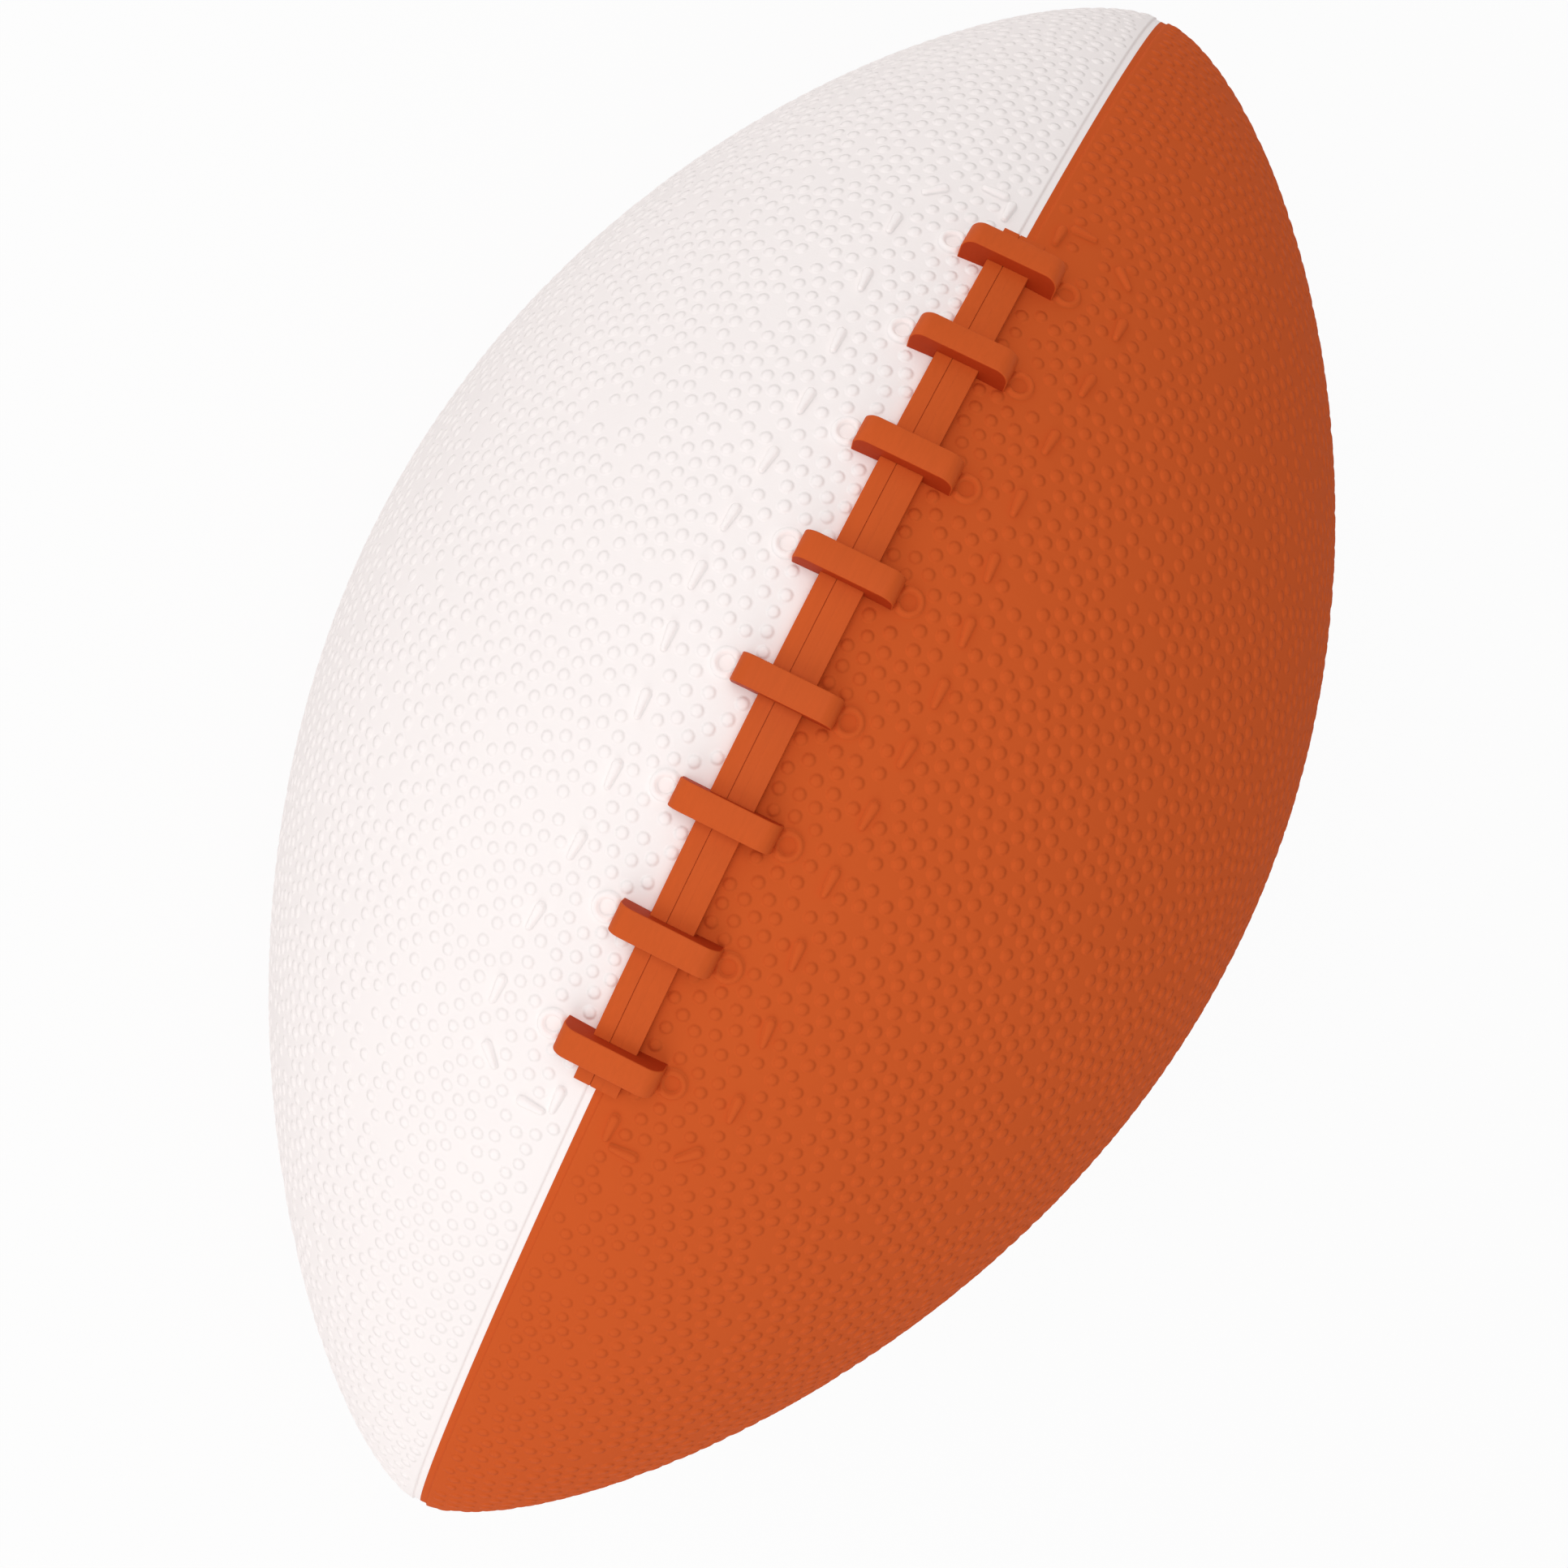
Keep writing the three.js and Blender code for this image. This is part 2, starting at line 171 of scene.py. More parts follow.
# The valve in the rear white panel, with heights from the ball's axis
VALVE_ANGLE_DEG = 202.5
VALVE_HOLE_PROFILE = ((4.62, -0.80), (4.72, -0.45), (4.95, -0.18), (5.4, GROUND))
VALVE_SEGMENTS = 40
VALVE_BARE_RADIUS = 6.6
VALVE_FACE = 75.3
VALVE_FLANGE_TOP = 69.9
VALVE_FLANGE_THICKNESS = 1.6
VALVE_NECK_LENGTH = 8.0
VALVE_HEAD_THICKNESS = 1.2
VALVE_CLEARANCE = 0.3
VALVE_CORE_RADIUS = 1.6
VALVE_BORE_RADIUS = 1.9
VALVE_HEAD_RADIUS = 2.6
VALVE_COUNTERBORE_RADIUS = 2.9
VALVE_NECK_RADIUS = 3.6
VALVE_STEM_RADIUS = 4.5
VALVE_FLANGE_RADIUS = 8.0

# Rounded edges at the valve's face, as distance from the edge's side and depth under the face
VALVE_STEM_EDGE = ((0, 0.35), (0.1, 0.1), (0.35, 0))
VALVE_COUNTERBORE_EDGE = ((0.3, 0), (0.08, 0.1), (0, 0.3))
VALVE_HEAD_EDGE = ((0, 0.3), (0.08, 0.1), (0.3, 0))

# The dimple that guides the needle, as radius and depth
VALVE_DIMPLE = ((1.0, 0.05), (0.62, 0.25), (0.45, 0.7), (0, 0.85))

# Colours, as the light that each surface sends back
WHITE_RUBBER = (0.965, 0.90, 0.885)
ORANGE_RUBBER = (0.612, 0.1005, 0.0212)
LACE_TOP = (0.592, 0.0965, 0.0188)
# The bars' side walls: the lace colour made darker and deeper red, as painted shade
LACE_SIDE_PAINTED_SHADE = (0.42, 0.042, 0.008)
BLACK_RUBBER = (0.025, 0.024, 0.023)
BUTYL_RUBBER = (0.02, 0.02, 0.02)
NYLON_YARN = (0.70, 0.67, 0.58)
FLOOR_COLOUR = (0.8, 0.8, 0.8)

# Finishes: grain sizes, shares of the colour at its dark and light ends, and roughness from low to high
PATCH_SIZE = 22.0
GRIME_SIZE = 1.3
GRAIN_SIZE = 0.35
# How much lighter the tops of pebbles, eyelets and marks are than the ground between them: partly wear,
# partly painted shade in the hollows
PEBBLE_TOP_WEAR_AND_SHADE = 0.55
PEBBLED_TONES = (0.98, 1.01)
PEBBLED_ROUGHNESS = (0.70, 0.82)
PEBBLED_SPECULAR = 0.03
STREAK_WIDTH = 0.45
STREAK_STRETCH = (0.04, 1, 1)
LACE_PATCH_SIZE = 9.0
LACE_GRAIN_SIZE = 0.3
LACE_TONES = (0.96, 1.03)
LACE_ROUGHNESS = (0.46, 0.58)
LACE_SPECULAR = 0.06
DUST_SIZE = 1.6
SMOOTH_GRAIN_SIZE = 0.2
SMOOTH_TONES = (0.85, 1.5)
SMOOTH_SPECULAR = 0.35
BUTYL_ROUGHNESS = (0.47, 0.63)
VALVE_ROUGHNESS = (0.37, 0.53)
YARN_WIDTH = 3.2
YARN_WANDER = 0.6
YARN_TILTS_DEG = (35, -35, 80)
YARN_TONES = (0.55, 1.0)
YARN_ROUGHNESS = (0.9, 0.7)
FLOOR_ROUGHNESS = 0.9
FLOOR_SPECULAR = 0.1

# Fine bumps, as height and strength
GRAIN_BUMP = (0.02, 0.5)
GRIME_BUMP = (0.05, 0.3)
STREAK_BUMP = (0.03, 0.4)
LACE_GRAIN_BUMP = (0.015, 0.4)
SMOOTH_GRAIN_BUMP = (0.02, 0.4)
YARN_BUMP = (0.3, 0.8)

# The lamps, the sky and the floor
SKY_STRENGTH = 0.4
LAMP_DISTANCE = 1200.0
LAMP_SIZE = 1000.0
KEY_DIRECTION = (-0.91, -0.16, 0.38)
KEY_WATTS = 4.45
TOP_DIRECTION = (0.0, 0.0, 1.0)
TOP_WATTS = 6.0
SIDE_DIRECTION = (-0.41, 0.71, 0.57)
SIDE_WATTS = 2.0
FILL_DIRECTION = (0.60, 0.71, 0.37)
FILL_WATTS = 2.7
FLOOR_WHITENESS = 0.92
SKY_WHITENESS = 0.96
FLOOR_SIZE = 12000.0
FLOOR_GAP = 0.1


# The camera

def add_camera():
    along = math.radians(CAMERA_ALONG_DEG)
    across = math.radians(CAMERA_ACROSS_DEG)
    roll = math.radians(CAMERA_ROLL_DEG)
    back = Vector((
        math.sin(along),
        -math.sin(across) * math.cos(along),
        math.cos(across) * math.cos(along),
    ))
    ball_way = (Vector((1, 0, 0)) - back * back.x).normalized()
    side_way = ball_way.cross(back)
    right = math.cos(roll) * side_way + math.sin(roll) * ball_way
    up = math.cos(roll) * ball_way - math.sin(roll) * side_way
    data = bpy.data.cameras.new("camera")
    data.sensor_width = SENSOR_WIDTH
    data.lens = SENSOR_WIDTH * FOCAL_PIXELS / PHOTO_PIXELS
    data.shift_x = 0.5 - CENTRE_PIXEL[0] / PHOTO_PIXELS
    data.shift_y = CENTRE_PIXEL[1] / PHOTO_PIXELS - 0.5
    data.clip_start = CAMERA_NEAR * MM
    camera = bpy.data.objects.new("camera", data)
    turned = Matrix((right, up, back)).transposed().to_4x4()
    camera.matrix_world = Matrix.Translation(back * CAMERA_DISTANCE * MM) @ turned
    bpy.context.scene.collection.objects.link(camera)
    bpy.context.scene.camera = camera


# The ball's surface

def outline_radius(share):
    square = np.minimum(share * share, 1.0)
    return BALL_DIAMETER / 2 * (1 - square) ** END_SHARPNESS * (1 - END_TAPER * square)


def meridian():
    """Place, radius and lean along the ball from tip to tip, by the run along its surface."""
    turns = np.linspace(-math.pi / 2, math.pi / 2, MERIDIAN_SAMPLES)
    x = HALF_LENGTH * np.sin(turns)
    radius = outline_radius(np.sin(turns))
    step = np.hypot(np.diff(x), np.diff(radius))
    run = np.concatenate([[0], np.cumsum(step)])
    run -= run[-1] / 2
    lean = np.arctan2(np.gradient(radius), np.gradient(x))
    mean_radius = np.maximum((radius[1:] + radius[:-1]) / 2, SEAM_GAP / 10)
    stretch = np.concatenate([[0], np.cumsum(step / mean_radius)])
    return {"run": run, "x": x, "radius": radius, "lean": lean, "stretch": stretch}


MERIDIAN = meridian()
POLE_RUN = float(MERIDIAN["run"][-1])


def along(name, run):
    return np.interp(run, MERIDIAN["run"], MERIDIAN[name])


def surface(run, angle, height):
    """Points over the ball's outline: angle goes round the ball from the laces to the white side."""
    radius = along("radius", run) + height * np.cos(along("lean", run))
    x = along("x", run) - height * np.sin(along("lean", run))
    return np.stack([x, radius * np.sin(angle), radius * np.cos(angle)], -1)


def surface_frame(run, angle):
    """Unit vectors along the ball, round it and out of it."""
    lean = along("lean", run)
    outward = np.stack([np.zeros_like(angle), np.sin(angle), np.cos(angle)], -1)
    long_axis = np.array([1.0, 0.0, 0.0])
    forward = np.cos(lean)[..., None] * long_axis + np.sin(lean)[..., None] * outward
    out = np.cos(lean)[..., None] * outward - np.sin(lean)[..., None] * long_axis
    round_way = np.stack([np.zeros_like(angle), np.cos(angle), -np.sin(angle)], -1)
    return forward, round_way, out


# Meshes

def new_piece(name, points, faces, node, materials):
    mesh = bpy.data.meshes.new(name)
    mesh.from_pydata((np.asarray(points) * MM).tolist(), [], faces)
    mesh.validate()
    for material in materials:
        mesh.materials.append(material)
    mesh.shade_smooth()
    piece = bpy.data.objects.new(name, mesh)
    bpy.context.scene.collection.objects.link(piece)
    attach(piece, "root")
    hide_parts(node)
    return piece


class Sheet:
    """Points of one panel's outer face, with the edges that its triangles have to keep."""

    def __init__(self):
        self.runs = []
        self.angles = []
        self.heights = []
        self.relief = []
        self.normals = []
        self.edges = []
        self.count = 0

    def add(self, run, angle, height, relief=0.0, normal=None):
        """Adds a row of points and gives their numbers. A normal is kept only where one is given."""
        size = len(run)
        self.runs.append(np.asarray(run, float))
        self.angles.append(np.asarray(angle, float))
        self.heights.append(np.broadcast_to(np.asarray(height, float), size))
        self.relief.append(np.broadcast_to(np.asarray(relief, float), size))
        self.normals.append(np.full((size, 3), np.nan) if normal is None else normal)
        first = self.count
        self.count += size
        return np.arange(first, self.count)

    def ring(self, run, angle, height, relief=0.0):
        """Adds a closed row of points. On the ground it takes the ground's own normals."""
        on_ground = np.all(np.equal(height, GROUND))
        normal = surface_frame(run, angle)[2] if on_ground else None
        numbers = self.add(run, angle, height, relief, normal)
        self.close(numbers)
        return numbers

    def close(self, numbers):
        following = np.roll(numbers, -1)
        self.edges.extend(zip(numbers.tolist(), following.tolist()))

    def joined(self):
        rows = (self.runs, self.angles, self.heights, self.relief)
        return [np.concatenate(row) for row in rows] + [np.concatenate(self.normals)]


def triangles_in(run, angle, edges):
    """Triangles between the points, inside the closed outline that the edges make.
    They are found on a map of the surface that keeps angles, so that they suit the surface too."""
    flat = [Vector(pair) for pair in zip(along("stretch", run).tolist(), angle.tolist())]
    inside_only = 1
    tolerance = 1e-9
    made = delaunay_2d_cdt(flat, edges, [], inside_only, tolerance, False)
    if len(made[0]) != len(flat):
        raise ValueError("two edges of a panel cross each other")
    return np.array(made[2])


def away_from(hole, run, angle):
    """How far places on the outline lie from the middle of a hole."""
    between = surface(run, angle, 0.0) - surface(hole["run"], hole["angle"], 0.0)
    return np.linalg.norm(between, axis=1)


def without_hole(triangles, run, angle, hole):
    if hole is None:
        return triangles
    away = away_from(hole, run[triangles].mean(1), angle[triangles].mean(1))
    return triangles[away > hole["radius"]]


# The pebbled panels

def rim_loop(first_angle, inset):
    """Runs and angles round a panel at a distance in from its seams and from the sunk discs."""
    end = POLE_RUN - TIP_DISC_RADIUS - inset
    steps = int(2 * end / RIM_STEP)
    runs = np.linspace(-end, end, steps + 1)
    low = first_angle + inset / along("radius", runs)
    high = first_angle + math.pi / 2 - inset / along("radius", runs)
    across = np.linspace(0, 1, TIP_CROSS_STEPS + 1)[1:-1]
    cross = low[-1] + across * (high[-1] - low[-1])
    run = np.concatenate([runs, np.full(len(cross), end), runs[::-1], np.full(len(cross), -end)])
    angle = np.concatenate([low, cross, high[::-1], cross[::-1]])
    return run, angle


def seam_loop(first_angle):
    """Runs and angles along a panel's two edges, which meet on the ball's axis at both tips."""
    inset = SEAM_GAP / 2
    apex_radius = inset * math.sqrt(2)
    half = MERIDIAN_SAMPLES // 2
    apex = float(np.interp(-apex_radius, -MERIDIAN["radius"][half:], MERIDIAN["run"][half:]))
    steps = int(2 * POLE_RUN / RIM_STEP)
    straight = np.linspace(-1, 1, steps + 1)[1:-1] * (POLE_RUN - TIP_DISC_RADIUS)
    tip = POLE_RUN - np.array([radius for radius, _ in TIP_RINGS])[::-1]
    runs = np.concatenate([-tip[::-1], straight, tip])
    low = first_angle + np.arcsin(inset / along("radius", runs))
    high = first_angle + math.pi / 2 - np.arcsin(inset / along("radius", runs))
    middle = [first_angle + math.pi / 4]
    run = np.concatenate([[-apex], runs, [apex], runs[::-1]])
    angle = np.concatenate([middle, low, middle, high[::-1]])
    return run, angle


def add_channel_floor(sheet, run, angle):
    """Points on the floor of the channel, with the ball's own normals, so that it is shaded flat."""
    return sheet.add(run, angle, -CHANNEL_DEPTH, normal=surface_frame(run, angle)[2])


def add_rim(sheet, first_angle):
    edge = add_channel_floor(sheet, *seam_loop(first_angle))
    sheet.close(edge)
    sheet.close(add_channel_floor(sheet, *rim_loop(first_angle, CHANNEL_FLAT_EDGE)))
    for inset, height in RIM_PROFILE:
        sheet.ring(*rim_loop(first_angle, inset), height)
    for reach, count in TIP_RINGS:
        shares = (np.arange(count) + 1) / (count + 1)
        angles = first_angle + shares * math.pi / 2
        for end in (-1, 1):
            add_channel_floor(sheet, np.full(count, end * (POLE_RUN - reach)), angles)
    return edge


def lace_runs():
    return LACE_ROW_SHIFT + (np.arange(BAR_COUNT) - (BAR_COUNT - 1) / 2) * BAR_PITCH


def strip_reach():
    return ((BAR_COUNT - 1) * BAR_PITCH + BAR_WIDTH) / 2 + RUN_OVERHANG


def stitch_marks():
    """Middle and heading of each mark on one side of the laces, as run, side and angle."""
    marks = []
    for i in range(-MARK_PAIRS, MARK_PAIRS + 1):
        reach = MARK_PITCH * i + math.copysign(MARK_SPREAD * i * i, i)
        phase = 2 * math.pi * reach / MARK_WAVE_LENGTH
        slope = -MARK_WAVE * math.sin(phase) * 2 * math.pi / MARK_WAVE_LENGTH
        marks.append((reach, MARK_SIDE + MARK_WAVE * math.cos(phase), math.atan(slope)))
    for reach, side, heading in (CORNER_MARK, CROSS_MARK, SHORT_MARK):
        turn = math.radians(heading)
        marks.append((reach, side, -turn))
        marks.append((-reach, side, turn))
    return [(LACE_ROW_SHIFT + reach, side, turn) for reach, side, turn in marks]


def add_eyelets(sheet, seam_angle, way):
    """Rings at the bars' ends, which sink into the ground where a bar covers them."""
    turns = np.linspace(0, 2 * math.pi, EYELET_SEGMENTS, endpoint=False)
    for middle in lace_runs():
        for radius, height in EYELET_PROFILE:
            run = middle + radius * np.cos(turns)
            side = EYELET_SIDE + radius * np.sin(turns)
            clear = np.clip((side - BAR_OUTER_EDGE) / EYELET_FADE, 0, 1)
            angle = seam_angle + way * side / along("radius", run)
            sheet.ring(run, angle, GROUND + height * clear, height / PEBBLE_HEIGHT)


def mark_outline(half_width):
    """Points round a mark lying along the first axis, thick at its far end."""
    thin = half_width * MARK_TAPER
    foot = MARK_PROFILE[0][0]
    far = MARK_LENGTH / 2 - foot
    near = foot * MARK_TAPER - MARK_LENGTH / 2
    turns = np.linspace(-math.pi / 2, math.pi / 2, MARK_SEGMENTS)
    head = np.stack([far + half_width * np.cos(turns), half_width * np.sin(turns)], -1)
    tail = np.stack([near - thin * np.cos(turns), -thin * np.sin(turns)], -1)
    shares = np.linspace(0, 1, MARK_SEGMENTS)[1:-1, None]
    upper = head[-1] + shares * (tail[0] - head[-1])
    lower = tail[-1] + shares * (head[0] - tail[-1])
    return np.concatenate([head, upper, tail, lower])


def add_marks(sheet, seam_angle, way):
    for middle, side, heading in stitch_marks():
        cosine, sine = math.cos(heading), math.sin(heading)
        for half_width, height in MARK_PROFILE:
            outline = mark_outline(half_width)
            run = middle + outline[:, 0] * cosine - outline[:, 1] * sine
            across = side + outline[:, 0] * sine + outline[:, 1] * cosine
            angle = seam_angle + way * across / along("radius", run)
            sheet.ring(run, angle, GROUND + height, height / PEBBLE_HEIGHT)


def clear_of_laces(run, side):
    """Whether a pebble at a run and a distance from the laced seam stays clear of what is there."""
    past_ends = np.abs(run - LACE_ROW_SHIFT) > strip_reach() + PEBBLE_LACE_GAP
    clear = past_ends | (side > RUN_OUTER_EDGE + PEBBLE_LACE_GAP)
    for middle in lace_runs():
        beside_bar = np.abs(run - middle) > BAR_WIDTH / 2 + PEBBLE_LACE_GAP
        clear &= beside_bar | (side > BAR_OUTER_EDGE + PEBBLE_LACE_GAP)
        clear &= np.hypot(run - middle, side - EYELET_SIDE) > EYELET_PROFILE[0][0] + PEBBLE_REACH
    for middle, mark_side, heading in stitch_marks():
        cosine, sine = math.cos(heading), math.sin(heading)
        ahead = (run - middle) * cosine + (side - mark_side) * sine
        beside = (side - mark_side) * cosine - (run - middle) * sine
        past = np.maximum(np.abs(ahead) - MARK_LENGTH / 2, 0)
        clear &= np.hypot(past, beside) > MARK_PROFILE[0][0] + PEBBLE_REACH
    return clear


def spaced_out(points, spacing):
    """Numbers of the points that lie at least spacing from all that were kept before them."""
    cells = {}
    kept = []
    steps = [(i, j, k) for i in (-1, 0, 1) for j in (-1, 0, 1) for k in (-1, 0, 1)]
    corners = np.floor(points / spacing).astype(int).tolist()
    for number, (point, (a, b, c)) in enumerate(zip(points.tolist(), corners)):
        near = [p for i, j, k in steps for p in cells.get((a + i, b + j, c + k), ())]
        if all(math.dist(point, other) >= spacing for other in near):
            cells.setdefault((a, b, c), []).append(point)
            kept.append(number)
    return np.array(kept)


def pebble_room(first_angle, seam_angle, way, hole):
    """A test of where a panel has room for a pebble: off its rim, the laces, the marks and the valve."""
    rim = RIM_PROFILE[-1][0] + PEBBLE_REACH

    def has_room(run, angle):
        tight_radius = along("radius", np.abs(run) + PEBBLE_REACH)
        clear = (angle - first_angle) * tight_radius > rim
        clear &= (first_angle + math.pi / 2 - angle) * tight_radius > rim
        clear &= POLE_RUN - np.abs(run) > TIP_DISC_RADIUS + rim
        if way:
            clear &= clear_of_laces(run, way * (angle - seam_angle) * along("radius", run))
        if hole is not None:
            clear &= away_from(hole, run, angle) > VALVE_BARE_RADIUS
        return clear

    return has_room


def pushes(points):
    """How far each point is pushed away by those around it."""
    tree = KDTree(len(points))
    for number, point in enumerate(points.tolist()):
        tree.insert(point, number)
    tree.balance()
    found = np.zeros_like(points)
    for number, point in enumerate(points.tolist()):
        push = Vector((0, 0, 0))
        for other, _, gap in tree.find_n(point, PEBBLE_NEIGHBOURS + 1):
            if 0 < gap < PEBBLE_PITCH:
                push += (Vector(point) - other) * ((PEBBLE_PITCH - gap) / gap)
        found[number] = push
    return found


def evened_out(run, angle, has_room):
    """Moves the places apart in small rounds, each only where there is room for it."""
    for _ in range(PEBBLE_ROUNDS):
        push = PEBBLE_PUSH * pushes(surface(run, angle, 0.0))
        forward, round_way, _ = surface_frame(run, angle)
        new_run = run + (push * forward).sum(1)
        new_angle = angle + (push * round_way).sum(1) / along("radius", run)
        free = has_room(new_run, new_angle)
        run = np.where(free, new_run, run)
        angle = np.where(free, new_angle, angle)
    return run, angle


def pebble_places(first_angle, has_room, random):
    """Runs and angles of a panel's pebbles, scattered evenly but in no order."""
    share = np.cumsum(MERIDIAN["radius"] * np.gradient(MERIDIAN["run"]))
    area = share[-1] * math.pi / 2
    run = np.interp(random.random(PEBBLE_TRIES) * share[-1], share, MERIDIAN["run"])
    angle = first_angle + random.random(PEBBLE_TRIES) * math.pi / 2
    free = has_room(run, angle)
    count = int(free.mean() * area / PEBBLE_AREA)
    run, angle = run[free], angle[free]
    kept = spaced_out(surface(run, angle, 0.0), PEBBLE_FIRST_GAP)[:count]
    run, angle = evened_out(run[kept], angle[kept], has_room)
    kept = spaced_out(surface(run, angle, 0.0), PEBBLE_LEAST_GAP)
    return run[kept], angle[kept]


def add_pebbles(sheet, run, angle, random):
    size = len(run)
    scale = 1 + PEBBLE_VARIATION * random.uniform(-1, 1, size)
    height = PEBBLE_HEIGHT * (1 + PEBBLE_VARIATION * random.uniform(-1, 1, size))
    turn = random.uniform(0, 2 * math.pi, size)
    forward, round_way, out = surface_frame(run, angle)
    for share, count in PEBBLE_RINGS:
        bend = math.pi * share ** PEBBLE_FLATNESS
        rise = (1 + math.cos(bend)) / 2
        fall = math.sin(bend) / 2 * math.pi * PEBBLE_FLATNESS * share ** (PEBBLE_FLATNESS - 1)
        slope = (PEBBLE_CRISPNESS * fall * height / (PEBBLE_RADIUS * scale))[:, None]
        numbers = []
        twist = 0 if share == 1 else math.pi / count
        for step in twist + np.arange(count) * 2 * math.pi / count:
            ahead = np.cos(turn + step)
            aside = np.sin(turn + step)
            ring_run = run + PEBBLE_RADIUS * scale * share * ahead
            ring_angle = angle + PEBBLE_RADIUS * scale * share * aside / along("radius", ring_run)
            normal = out + slope * (ahead[:, None] * forward + aside[:, None] * round_way)
            normal /= np.linalg.norm(normal, axis=1)[:, None]
            numbers.append(sheet.add(ring_run, ring_angle, GROUND + height * rise, rise, normal))
        if rise == 0:
            for ring in np.stack(numbers, -1):
                sheet.close(ring)


def add_hole_rim(sheet, hole):
    turns = np.linspace(0, 2 * math.pi, VALVE_SEGMENTS, endpoint=False)
    edge = None
    for radius, height in VALVE_HOLE_PROFILE:
        run = hole["run"] + radius * np.cos(turns)
        angle = hole["angle"] + radius * np.sin(turns) / along("radius", run)
        numbers = sheet.ring(run, angle, height)
        if edge is None:
            edge = numbers
    return edge


def inner_places(first_angle, hole):
    """Runs and angles of the inner face's own points, in staggered rows clear of the edges."""
    runs, angles = [], []
    places = np.arange(-POLE_RUN + INNER_SPREAD, POLE_RUN - INNER_INSET, INNER_SPREAD)
    for row, place in enumerate(places):
        radius = float(along("radius", place))
        width = radius * math.pi / 2 - 2 * INNER_INSET
        count = max(int(width / INNER_SPREAD), 0)
        stagger = 0.25 + 0.5 * (row % 2)
        shares = (np.arange(count) + stagger) / max(count, 1)
        runs.extend([place] * count)
        angles.extend((first_angle + (INNER_INSET + shares * width) / radius).tolist())
    runs, angles = np.array(runs), np.array(angles)
    if hole is None:
        return runs, angles
    free = away_from(hole, runs, angles) > VALVE_BARE_RADIUS
    return runs[free], angles[free]


def inner_face(run, angle, edge, hole_edge, hole, first_angle):
    """The cover's inner face, under the same edges: its points and the triangles among them."""
    runs, angles = inner_places(first_angle, hole)
    rims = [edge] if hole_edge is None else [edge, hole_edge]
    all_runs = np.concatenate([run[rim] for rim in rims] + [runs])
    all_angles = np.concatenate([angle[rim] for rim in rims] + [angles])
    edges = []
    start = 0
    for rim in rims:
        numbers = start + np.arange(len(rim))
        edges.extend(zip(numbers.tolist(), np.roll(numbers, -1).tolist()))
        start += len(rim)
    triangles = triangles_in(all_runs, all_angles, edges)
    triangles = without_hole(triangles, all_runs, all_angles, hole)
    return surface(all_runs, all_angles, -COVER_THICKNESS), all_runs, all_angles, triangles[:, ::-1]


def wall_between(outer, inner):
    """Faces between two matching loops, for an outer loop that runs round its face to the left."""
    faces = []
    for i in range(len(outer)):
        j = (i + 1) % len(outer)
        faces.append((outer[i], inner[i], inner[j], outer[j]))
    return faces


def unwrapped(run, angle, first_angle, band):
    """Places on the flat map for colours, the inner face in a band of its own."""
    across = (angle - first_angle - math.pi / 4) * along("radius", run) / (2 * POLE_RUN)
    ahead = 0.5 + MAP_HALF_LENGTH * run / POLE_RUN
    return np.stack([ahead, band + MAP_WIDTH_SCALE * across], -1)


def panel_normals(mesh, given):
    """Smooth normals from the faces, or the points' own where they are given."""
    found = np.zeros(len(mesh.vertices) * 3, np.float32)
    mesh.vertex_normals.foreach_get("vector", found)
    normals = found.reshape(-1, 3)
    own = ~np.isnan(given[:, 0])
    normals[: len(given)][own] = given[own]
    mesh.normals_split_custom_set_from_vertices(normals.tolist())


def add_relief(mesh, relief):
    """Tells the material how far each point of the outer face stands out of the ground."""
    everywhere = np.zeros(len(mesh.vertices), np.float32)
    everywhere[: len(relief)] = relief
    layer = mesh.attributes.new("relief", "FLOAT", "POINT")
    layer.data.foreach_set("value", everywhere)


def add_flat_map(mesh, flat):
    """Gives each corner of each face the place of its point on the flat map."""
    corners = np.zeros(len(mesh.loops), np.int32)
    mesh.loops.foreach_get("vertex_index", corners)
    layer = mesh.uv_layers.new(name="OFBake")
    layer.uv.foreach_set("vector", flat[corners].astype(np.float32).ravel())


def build_panel(node, first_deg, laced, material, seed, hole=None):
    """One pebbled panel. laced is 1 where the laces run along its first seam, -1 along its last."""
    random = np.random.default_rng(seed)
    first_angle = math.radians(first_deg)
    seam_angle = first_angle if laced >= 0 else first_angle + math.pi / 2
    sheet = Sheet()
    edge = add_rim(sheet, first_angle)
    hole_edge = add_hole_rim(sheet, hole) if hole is not None else None
    if laced:
        add_eyelets(sheet, seam_angle, laced)
        add_marks(sheet, seam_angle, laced)
    has_room = pebble_room(first_angle, seam_angle, laced, hole)
    add_pebbles(sheet, *pebble_places(first_angle, has_room, random), random)
    run, angle, height, relief, normals = sheet.joined()
    triangles = triangles_in(run, angle, sheet.edges)
    triangles = without_hole(triangles, run, angle, hole)
    under, under_run, under_angle, under_triangles = inner_face(
        run, angle, edge, hole_edge, hole, first_angle)
    first_under = len(run)
    under_edge = first_under + np.arange(len(edge))
    faces = triangles.tolist() + (under_triangles + first_under).tolist()
    faces += wall_between(edge.tolist(), under_edge.tolist())
    if hole_edge is not None:
        under_hole = first_under + len(edge) + np.arange(len(hole_edge))
        faces += wall_between(hole_edge[::-1].tolist(), under_hole[::-1].tolist())
    points = np.concatenate([surface(run, angle, height), under])
    piece = new_piece(node + "_rubber", points, faces, node, [material])
    add_relief(piece.data, relief)
    add_flat_map(piece.data, np.concatenate([
        unwrapped(run, angle, first_angle, OUTER_BAND),
        unwrapped(under_run, under_angle, first_angle, INNER_BAND),
    ]))
    panel_normals(piece.data, normals)
    return piece


# The laces

def arc(centre, radius, start_deg, end_deg, steps):
    turns = np.radians(np.linspace(start_deg, end_deg, steps + 1))
    return [(centre[0] + radius * math.cos(t), centre[1] + radius * math.sin(t)) for t in turns]


